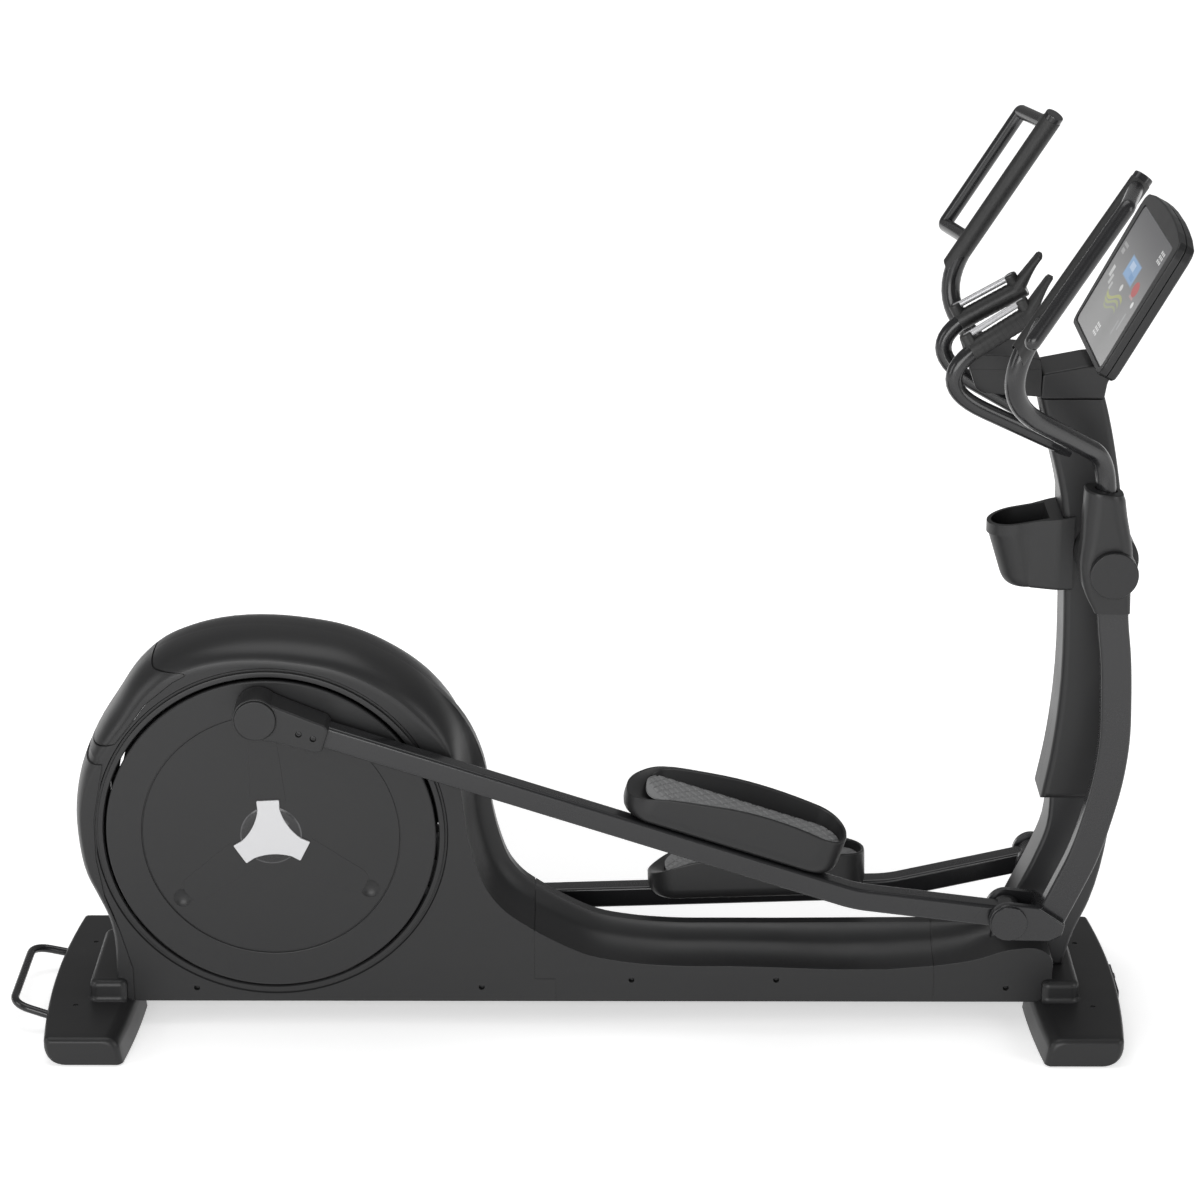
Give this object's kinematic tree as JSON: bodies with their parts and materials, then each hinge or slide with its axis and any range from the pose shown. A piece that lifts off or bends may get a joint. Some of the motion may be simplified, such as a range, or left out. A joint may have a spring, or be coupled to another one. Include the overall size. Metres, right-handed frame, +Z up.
{
  "type": "elliptical trainer",
  "caption": "Cross trainer: two pedal arms on a crank wheel, swinging handle arms on a curved mast, fixed grips, cup holder and tilted screen.",
  "frame": {"origin": "centre of the footprint, on the floor", "axes": "+X from the crank wheel towards the screen, +Z up, the user's right side at -Y"},
  "size_m": [2.1787, 0.9716, 1.7161],
  "materials": {
    "painted_steel": "satin black powder coat",
    "gloss_steel": "gloss black powder coat",
    "bare_steel": "brushed",
    "cast_steel": "as machined",
    "shell_plastic": "satin charcoal black",
    "silver_plastic": "silver",
    "grip_rubber": "matt black",
    "tread_rubber": "textured grey",
    "screen": "gloss display cover"
  },
  "bodies": {
    "frame": {"base_beam": "painted_steel", "rear_cross_tube": "painted_steel", "front_cross_tube": "painted_steel", "mast_post": "painted_steel", "drive_frame": "painted_steel", "rear_foot_cover": "shell_plastic", "front_foot_cover": "shell_plastic", "pull_handle": "painted_steel", "levelling_foot_rear_right": "grip_rubber", "levelling_foot_rear_left": "grip_rubber", "levelling_foot_front_right": "grip_rubber", "levelling_foot_front_left": "grip_rubber", "base_shroud_right": "shell_plastic", "base_shroud_left": "shell_plastic", "shroud_rear_insert": "shell_plastic", "shroud_rear_cap": "shell_plastic", "mast_cover_right": "shell_plastic", "mast_cover_left": "shell_plastic", "pivot_shaft": "bare_steel", "cup_holder": "shell_plastic", "console_neck": "shell_plastic", "pod_upper": "shell_plastic", "pod_lower": "shell_plastic", "static_bar_right": "gloss_steel", "hand_grip_right": "grip_rubber", "pulse_sensor_right": "bare_steel", "static_bar_left": "gloss_steel", "hand_grip_left": "grip_rubber", "pulse_sensor_left": "bare_steel", "power_inlet": "grip_rubber", "screen_glass": "screen", "console_front_housing": "shell_plastic", "console_back_cover": "shell_plastic", "drive_belt": "grip_rubber"},
    "crank": {"crank_shaft": "cast_steel", "drive_pulley": "cast_steel", "crank_disc_right": "shell_plastic", "crank_disc_left": "shell_plastic", "hub_plate_right": "silver_plastic", "hub_plate_left": "silver_plastic"},
    "flywheel": {"flywheel": "cast_steel"},
    "swing_right": {"swing_arm_right": "gloss_steel", "pivot_sleeve_right": "shell_plastic", "moving_handle_right": "gloss_steel"},
    "pedal_right": {"pedal_arm_right": "gloss_steel", "crank_joint_right": "shell_plastic", "pedal_pan_right": "shell_plastic", "pedal_tread_right": "tread_rubber"},
    "transport_wheel_right": {"transport_wheel_right": "grip_rubber"},
    "quick_key_right": {"quick_key_right": "grip_rubber"},
    "swing_left": {"swing_arm_left": "gloss_steel", "pivot_sleeve_left": "shell_plastic", "moving_handle_left": "gloss_steel"},
    "pedal_left": {"pedal_arm_left": "gloss_steel", "crank_joint_left": "shell_plastic", "pedal_pan_left": "shell_plastic", "pedal_tread_left": "tread_rubber"},
    "transport_wheel_left": {"transport_wheel_left": "grip_rubber"},
    "quick_key_left": {"quick_key_left": "grip_rubber"},
    "power_switch": {"power_switch": "grip_rubber"}
  },
  "joints": [
    {"name": "crank_spin", "type": "hinge", "parent": "frame", "child": "crank", "pos_m": [-0.575, 0, 0.402], "axis": [0, 1, 0], "continuous": true},
    {"name": "flywheel_spin", "type": "hinge", "parent": "frame", "child": "flywheel", "pos_m": [-0.29, 0, 0.262], "axis": [0, 1, 0], "continuous": true},
    {"name": "right_arm_swing", "type": "hinge", "parent": "frame", "child": "swing_right", "pos_m": [0.973, -0.162, 0.954], "axis": [0, 1, 0], "range_deg": [-23, 16.5]},
    {"name": "left_arm_swing", "type": "hinge", "parent": "frame", "child": "swing_left", "pos_m": [0.973, 0.162, 0.954], "axis": [0, 1, 0], "range_deg": [-16.5, 23]},
    {"name": "right_pedal_pivot", "type": "hinge", "parent": "swing_right", "child": "pedal_right", "pos_m": [0.81242, -0.15, 0.25727], "axis": [0, 1, 0], "range_deg": [-16.5, 23]},
    {"name": "left_pedal_pivot", "type": "hinge", "parent": "swing_left", "child": "pedal_left", "pos_m": [0.89573, 0.15, 0.24319], "axis": [0, 1, 0], "range_deg": [-23, 16.5]},
    {"name": "right_wheel_spin", "type": "hinge", "parent": "frame", "child": "transport_wheel_right", "pos_m": [1.01, -0.186, 0.031], "axis": [0, 1, 0], "continuous": true},
    {"name": "left_wheel_spin", "type": "hinge", "parent": "frame", "child": "transport_wheel_left", "pos_m": [1.01, 0.186, 0.031], "axis": [0, 1, 0], "continuous": true},
    {"name": "right_key_press", "type": "slide", "parent": "frame", "child": "quick_key_right", "axis": [-0.3627, -0.136, -0.9219], "range_m": [0, 0.002], "stiffness_N_per_m": 400, "springref_m": -0.001},
    {"name": "left_key_press", "type": "slide", "parent": "frame", "child": "quick_key_left", "axis": [-0.3627, 0.136, -0.9219], "range_m": [0, 0.002], "stiffness_N_per_m": 400, "springref_m": -0.001},
    {"name": "power_rocker", "type": "hinge", "parent": "frame", "child": "power_switch", "pos_m": [1.037, 0.026, 0.0335], "axis": [0, 1, 0], "range_deg": [-10, 0]}
  ],
  "couplings": [
    {"joint": "flywheel_spin", "follows": "crank_spin", "ratio": 5.5},
    {"joint": "left_arm_swing", "follows": "right_arm_swing", "ratio": -1},
    {"joint": "right_pedal_pivot", "follows": "right_arm_swing", "ratio": -1},
    {"joint": "left_pedal_pivot", "follows": "right_arm_swing", "ratio": 1}
  ]
}
